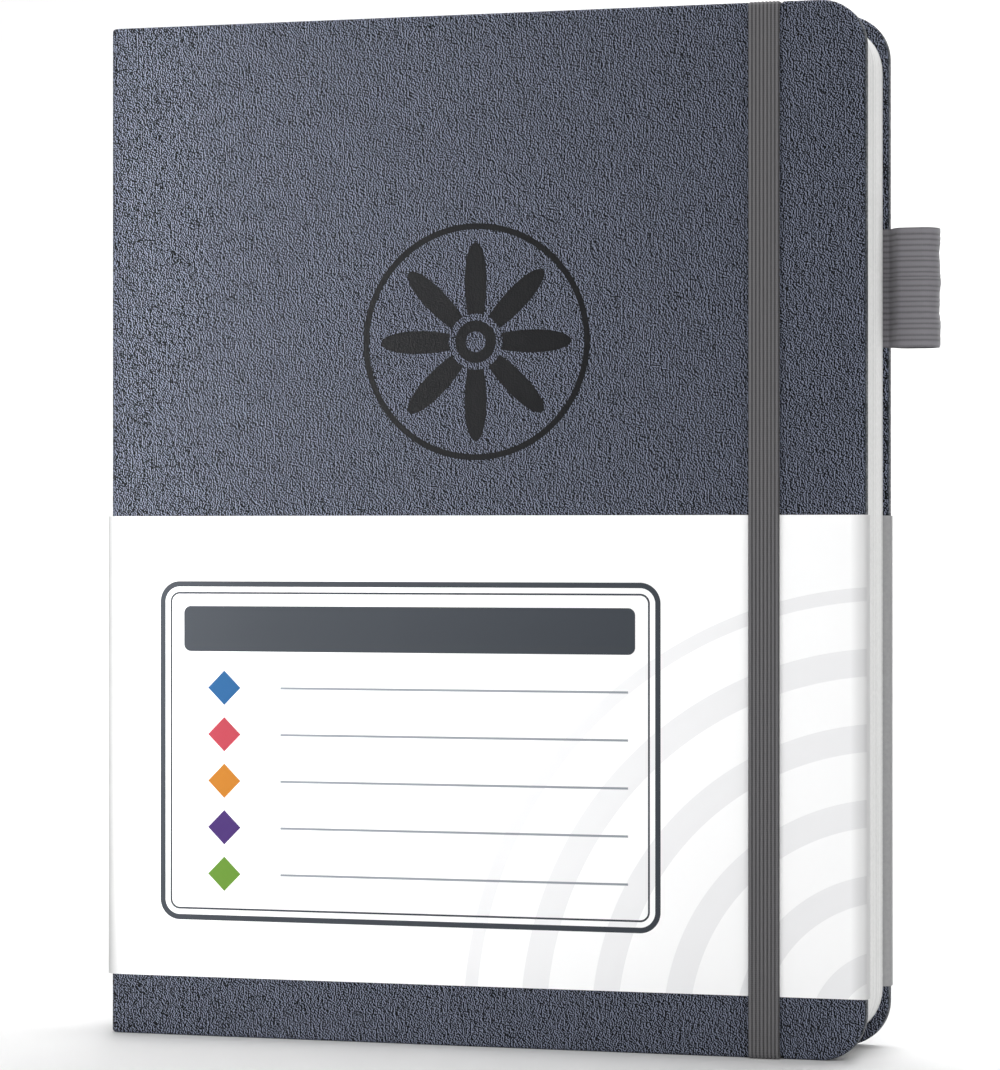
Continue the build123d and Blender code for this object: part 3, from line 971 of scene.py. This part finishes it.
def loop_path():
    """Plan of the pen loop: two layers side by side in the cover, which part along a smoothstep curve, run
    straight and meet round two quarter circles at the tip."""
    part = np.linspace(0, 1, 15)
    rise = half_wall + (loop_side - half_wall) * part ** 2 * (3 - 2 * part)
    parting = np.stack([neck_x + part * (belly_x - neck_x), -rise], 1)
    tip = [(belly_x, -loop_side), (tip_x, -loop_side), (tip_x, loop_side), (belly_x, loop_side)]
    outside = bent_path(tip, tip_radius, 14)[0][1:-1]
    inside_end = np.array([(tab_low[0], -half_wall)])
    one_side = np.concatenate([inside_end, parting])
    return np.concatenate([one_side, outside, one_side[::-1] * (1, -1)]) + (0, loop_middle_y)


loop_route = loop_path()
loop_rings = carried(
    loop_route, left_normals(loop_route), PLAN, (loop_low[2] + loop_high[2]) / 2, loop_section
)
# The tip isn't quite straight: it sways in and out by two sines across the strip, inside its solid.
slow_sway, slow_turn, slow_start, quick_sway, quick_turn = 0.1, 0.75, 0.6, 0.05, 1.9
across = loop_section[:, 0]
sway = slow_sway * np.sin(across * slow_turn + slow_start) + quick_sway * np.sin(across * quick_turn)
tip_share = np.clip((loop_route[:, 0] - belly_x) / (tip_x - belly_x), 0, 1)[:, None] ** 2
loop_rings[:, :, 0] += tip_share * (sway[None, :] - slow_sway - quick_sway)
loop = add_rings(
    "pen_loop_elastic", loop_rings, loop_elastic, length_grid(loop_route, loop_count), sharp=60
)
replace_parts(loop, "pen_loop", "pen_loop_tab")
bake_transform(loop)
print("pen loop:", loop_ribs, "ribs,", len(loop.data.polygons), "faces")

# %% [markdown]
# The band is white coated card. Each fold carries painted shade: the white falls to a soft grey towards it,
# as where the card turns away from the light. Its print is worked out from distances in millimetres, so it
# stays crisp at any size: a frame is where the distance from a rectangle is the same all round, which also
# rounds the frame's corners.

# %% Frames and painted fold shade on the card
band_low, band_high = corners_of("band_front")
case_middle_y = (front_y + back_y) / 2


def box_distance(add, place, middle, half_size):
    """Distance from a rectangle on the cover's face: the length of what sticks out of it."""
    offset = add(
        "VectorMath",
        {0: (place, "Object"), 1: (METRES * middle[0], 0, METRES * middle[1])},
        operation="SUBTRACT",
    )
    folded = add("VectorMath", {0: (offset, "Vector")}, operation="ABSOLUTE")
    past = add(
        "VectorMath",
        {0: (folded, "Vector"), 1: (METRES * half_size[0], 1.0, METRES * half_size[1])},
        operation="SUBTRACT",
    )
    outside = add("VectorMath", {0: (past, "Vector"), 1: (0, 0, 0)}, operation="MAXIMUM")
    return add("VectorMath", {0: (outside, "Vector")}, operation="LENGTH")


def painted_fold_shade(add, apart):
    """Painted shade along each fold, as where the card turns away from the light: the share of white left, 1
    on the flat. It falls towards the fore-edge with x, and towards the hinges with the distance in plan along
    a
    fixed slant: mostly out past the spine and a little towards each face, as the bend's edge is seen from the
    camera."""
    bend_slant, hinge_reach = (-0.958, 0.287), 68.98
    hinge_fade, hinge_grey, edge_fade, edge_grey = 3.0, 0.45, 2.7, 0.6
    off_middle = add("Math", {0: (apart, "Y"), 1: METRES * case_middle_y}, operation="SUBTRACT")
    off_middle = add("Math", {0: (off_middle, "Value")}, operation="ABSOLUTE")
    across = add("Math", {0: (apart, "X"), 1: bend_slant[0]}, operation="MULTIPLY")
    past_hinge = add(
        "Math",
        {0: (off_middle, "Value"), 1: bend_slant[1], 2: (across, "Value")},
        operation="MULTIPLY_ADD",
    )
    shades = []
    for way, reach, fade, grey in (
        ((past_hinge, "Value"), hinge_reach, hinge_fade, hinge_grey),
        ((apart, "X"), band_high[0], edge_fade, edge_grey),
    ):
        span = {"From Min": METRES * (reach - fade), "From Max": METRES * reach}
        shades.append(add("MapRange", {"Value": way, **span, "To Min": 1.0, "To Max": grey}))
    return add("Math", {0: (shades[0], "Result"), 1: (shades[1], "Result")}, operation="MULTIPLY")


print("band at rest:", np.round(band_high - band_low, 2), "mm on the front")

# %% [markdown]
# The printed list has five rows, each a coloured diamond and a thin rule. One row is worked out and
# repeats itself: the height on the band is counted in rows from the top of the list, and the fraction of
# that count is the place within a row. A ramp in steps picks each row's ink by the same count.

# %% Rows of the printed list
row_inks = ("#0f5488", "#ac3645", "#b5700f", "#3b1b64", "#5c8524")
row_count = len(row_inks)


def list_rows(add, apart):
    """Two masks and a colour: rules are thin bands at the middle of each row, diamonds are where the
    distances sideways and up add up to less than half a diamond, and the colour changes from row to
    row."""
    first_row, row_pitch = 58.6, 7.8
    rule_middle, rule_half, rule_line = -8.0, 30.0, 0.18
    diamond_x, diamond_half = -48.0, 2.9
    rows_down = add(
        "MapRange",
        {
            "Value": (apart, "Z"),
            "From Min": METRES * (first_row + row_pitch / 2),
            "From Max": METRES * (first_row + row_pitch / 2 - row_count * row_pitch),
            "To Max": float(row_count),
        },
        clamp=False,
    )
    in_rows = add(
        "Math", {0: (rows_down, "Result"), 1: row_count / 2, 2: row_count / 2}, operation="COMPARE"
    )
    row_part = add("Math", {0: (rows_down, "Result")}, operation="FRACT")
    off_row = add(
        "MapRange", {"Value": (row_part, "Value"), "To Min": -row_pitch / 2, "To Max": row_pitch / 2}
    )
    off_row = add("Math", {0: (off_row, "Result")}, operation="ABSOLUTE")
    rule_span = add(
        "Math", {0: (apart, "X"), 1: rule_middle * METRES, 2: rule_half * METRES}, operation="COMPARE"
    )
    thin = add("Math", {0: (off_row, "Value"), 1: rule_line}, operation="LESS_THAN")
    rule = add("Math", {0: (thin, "Value"), 1: (rule_span, "Value")}, operation="MULTIPLY")
    sideways = add(
        "MapRange",
        {"Value": (apart, "X"), "From Min": diamond_x * METRES, "From Max": (diamond_x + 1) * METRES},
        clamp=False,
    )
    sideways = add("Math", {0: (sideways, "Result")}, operation="ABSOLUTE")
    diamond = add("Math", {0: (sideways, "Value"), 1: (off_row, "Value")}, operation="ADD")
    diamond = add("Math", {0: (diamond, "Value"), 1: diamond_half}, operation="LESS_THAN")
    masks = [
        add("Math", {0: (mask, "Value"), 1: (in_rows, "Value")}, operation="MULTIPLY")
        for mask in (rule, diamond)
    ]
    row_share = add("Math", {0: (rows_down, "Result"), 1: row_count}, operation="DIVIDE")
    inks = add("ValToRGB", {"Fac": (row_share, "Value")})
    inks.color_ramp.interpolation = "CONSTANT"
    stops = inks.color_ramp.elements
    for number, ink in enumerate(row_inks):
        stop = stops[number] if number < 2 else stops.new(number / row_count)
        stop.position = number / row_count
        stop.color = to_linear(ink)
    return *masks, inks


print("list:", row_count, "rows")

# %% [markdown]
# Now the card itself. Crisp inks on a smooth, half-matt white are what the eye gets. The print is generic:
# pale rings in a corner, then a framed list with a bar at its head, each ink laid over the ones before.
# A mark on the mesh keeps it to the front face, and the painted shade of the folds lies over everything.

# %% White band card, coated and printed
def band_card(name):
    """White coated card. Rings lie where the distance from their middle, folded back and forth at half their
    pitch, is small. The frame's two lines lie at set distances from one rectangle, and the bar is what is
    nearer to another than its corner's radius."""
    ring_middle, ring_pitch, ring_half, ring_reach = (66.0, 4.0), 12.0, 2.2, 72.0
    label_middle, label_half, label_corner = (-16.0, 48.0), (43.0, 28.0), 3.0
    outer_half_line, inner_line, inner_half_line = 0.45, 1.5, 0.16
    bar_middle, bar_half, bar_corner = (-16.0, 68.5), (38.0, 2.6), 1.2
    material, shader = new_material(name)
    add = partial(add_node, material)
    place = add("TexCoord")
    apart = add("SeparateXYZ", {"Vector": (place, "Object")})
    printed = add("Attribute", attribute_name="printed")
    ring_place = (METRES * ring_middle[0], METRES * band_low[1], METRES * ring_middle[1])
    off_middle = add("VectorMath", {0: (place, "Object"), 1: ring_place}, operation="DISTANCE")
    ring_step = add("Math", {0: (off_middle, "Value"), 1: ring_pitch / 2 * METRES}, operation="PINGPONG")
    ring_line = add("Math", {0: (ring_step, "Value"), 1: ring_half * METRES}, operation="LESS_THAN")
    ring_end = add("Math", {0: (off_middle, "Value"), 1: ring_reach * METRES}, operation="LESS_THAN")
    rings = add("Math", {0: (ring_line, "Value"), 1: (ring_end, "Value")}, operation="MULTIPLY")
    label = box_distance(add, place, label_middle, [side - label_corner for side in label_half])
    lines = [
        add("Math", {0: (label, "Value"), 1: METRES * off, 2: METRES * half_line}, operation="COMPARE")
        for off, half_line in ((label_corner, outer_half_line), (inner_line, inner_half_line))
    ]
    bar = box_distance(add, place, bar_middle, bar_half)
    bar = add("Math", {0: (bar, "Value"), 1: bar_corner * METRES}, operation="LESS_THAN")
    rule, diamond, diamond_ink = list_rows(add, apart)
    slate = to_linear("#363b42")
    layers = [(rings, to_linear("#efeff0"))] + [(mask, slate) for mask in (*lines, bar)]
    layers += [(rule, to_linear("#8b9098")), (diamond, (diamond_ink, "Color"))]
    finish = to_linear("#fefefe")
    for mask, ink in layers:
        share = add("Math", {0: (mask, "Value"), 1: (printed, "Fac")}, operation="MULTIPLY")
        mixed = add("Mix", {"Factor": (share, "Value"), "A": finish, "B": ink}, data_type="RGBA")
        finish = (mixed, "Result")
    # Painted shade of the folds, multiplied over the card and its print.
    finish = add(
        "Mix",
        {"Factor": 1.0, "A": finish, "B": (painted_fold_shade(add, apart), "Value")},
        data_type="RGBA",
        blend_type="MULTIPLY",
    )
    join(material, finish, "Result", shader, "Base Color")
    shader.inputs["Roughness"].default_value = 0.55
    shader.inputs["Specular IOR Level"].default_value = 0.25
    return material


white_card = band_card("white_card_coated")
grey_card = book_paper("grey_card_coated", ("#9a9a9b", "#a2a2a3"))
print("made", white_card.name, "with", len(white_card.node_tree.nodes), "nodes")

# %% [markdown]
# The band is one strip of card, bent round both hinges and both fore-edges. It moves with the covers, so
# it is made in five stretches that meet at the hinges: two panels with their tucked flaps, two bends and
# the panel on the spine. The little of the back panel that can be seen is grey, so that panel is grey card.

# %% Paper band in five stretches
fold_low, fold_high = corners_of("band_front_fold")
band_paper = 0.25
half_paper = band_paper / 2
flap_length = 45.0
band_height = band_high[2] - band_low[2]
band_z = np.linspace(0, band_height, 21)
band_section = np.stack(
    [np.append(band_z, band_z[::-1]), np.repeat((half_paper, -half_paper), len(band_z))], 1
)
band_bend = 0.9
section_out = band_section[:, 1]
outside_y, inside_y = band_low[1] + half_paper, band_high[1] - half_paper


def band_strip(name, path, normal, card):
    """A stretch of the band: the card's thin upright section carried along a path in plan. What faces the
    front on the outside is marked as printed."""
    rings = carried(path, normal, PLAN, band_low[2], band_section)
    marks = np.zeros(rings.shape[:2])
    facing = (normal[:, 1] > 0.5)[:, None] & (section_out < 0)[None, :] & (path[:, 1] < inside_y)[:, None]
    marks[facing] = 1
    return add_rings(name, rings, card, marks=marks)


fore_x = band_high[0] - half_paper
flap_x = cover_high[0] - flap_length
spine_line = fold_low[0] + half_paper
panel = np.array(
    [(cover_low[0], outside_y), (fore_x, outside_y), (fore_x, inside_y), (flap_x, inside_y)]
)
fold = np.array([(spine_line, fold_high[1]), (spine_line, outside_y), (cover_low[0], outside_y)])
# The back's panel and fold are the front's, mirrored in the middle of the case.
mirror = np.array((1.0, -1.0))
shift = np.array((0.0, 2 * case_middle_y))
rear_ends = fold * mirror + shift
panel_path, fold_path = bent_path(panel, band_bend, steps=8), full_quarter(*fold)
rear_panel_path = bent_path((panel * mirror + shift)[::-1], band_bend, steps=8)
front_panel = band_strip("band_front_panel", *panel_path, white_card)
back_panel = band_strip("band_back_panel", *rear_panel_path, grey_card)
front_fold = band_strip("band_front_bend", *fold_path, white_card)
rear_fold = band_strip("band_rear_bend", *full_quarter(*rear_ends[::-1]), white_card)
spine_panel = band_strip(
    "band_spine_panel",
    *straight_run((spine_line, back_y - hinge_radius), (spine_line, front_y + hinge_radius), 5),
    white_card,
)
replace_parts(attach(front_panel, "front_cover"), "band_front")
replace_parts(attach(back_panel, "back_cover"), "band_back")
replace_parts(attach(spine_panel, "spine"), "band_spine")
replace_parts(front_fold, "band_front_fold")
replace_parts(rear_fold, "band_rear_fold")
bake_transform(front_fold)
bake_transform(rear_fold)
panel_length, bend_length = distance_along(panel_path[0])[-1], distance_along(fold_path[0])[-1]
band_length = 2 * (panel_length + bend_length) + back_y - front_y - 2 * hinge_radius
print("band:", round(band_height, 1), "mm high,", round(band_length, 1), "mm long when laid flat")

# %% [markdown]
# Inside, the sections are held by a starched gauze called mull, and the boards are grey pressed pulp. The
# backs of the sections draw together when the book opens. Boards, pastedowns and flyleaves keep the shape
# of their solids and get the look of their stock.

# %% Gauze, boards and papers
def plain_stock(name, dark, light, size, roughness):
    """Pulp board or cloth: two tones mixed by a noise of the stock's own grain size."""
    material, shader = new_material(name)
    add = partial(add_node, material)
    place = add("TexCoord")
    mottle = add("TexNoise", {"Vector": (place, "Object"), "Scale": 1 / (size * METRES), "Detail": 5.0})
    tone = add("ValToRGB", {"Fac": (mottle, "Fac")})
    stops = tone.color_ramp.elements
    stops[0].color, stops[1].color = to_linear(dark), to_linear(light)
    bump = add("Bump", {"Height": (mottle, "Fac"), "Strength": 0.3, "Distance": 0.00005})
    join(material, tone, "Color", shader, "Base Color")
    join(material, bump, "Normal", shader, "Normal")
    shader.inputs["Roughness"].default_value = roughness
    return material


greyboard = plain_stock("greyboard_pressed_pulp", "#6d675e", "#a49c90", 0.8, 0.95)
mull = plain_stock("mull_gauze_starched", "#b9b5aa", "#e9e6dd", 0.5, 0.9)
gauze_low, gauze_high = corners_of("spine_gauze")
gauze_section = np.array([(0, 0), (1, 0), (1, 1), (0, 1)]) * (
    gauze_high[2] - gauze_low[2],
    gauze_high[0] - gauze_low[0],
)
gauze_route = straight_run((gauze_low[0], gauze_high[1]), (gauze_low[0], gauze_low[1]), 27)
gauze = add_rings(
    "spine_mull",
    carried(*gauze_route, PLAN, gauze_low[2], gauze_section),
    mull,
)
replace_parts(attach(gauze, "back_cover"), "spine_gauze")
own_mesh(gauze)
finishes = {
    greyboard: ("front_board", "back_board", "spine_board"),
    endpaper: ("front_pastedown", "back_pastedown", "front_flyleaf", "rear_flyleaf", "spine_lining"),
}
for material, nodes in finishes.items():
    for node in nodes:
        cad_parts[node].material_slots[0].material = material
print("solids that show in their own shape:", sum(len(n) for n in finishes.values()))
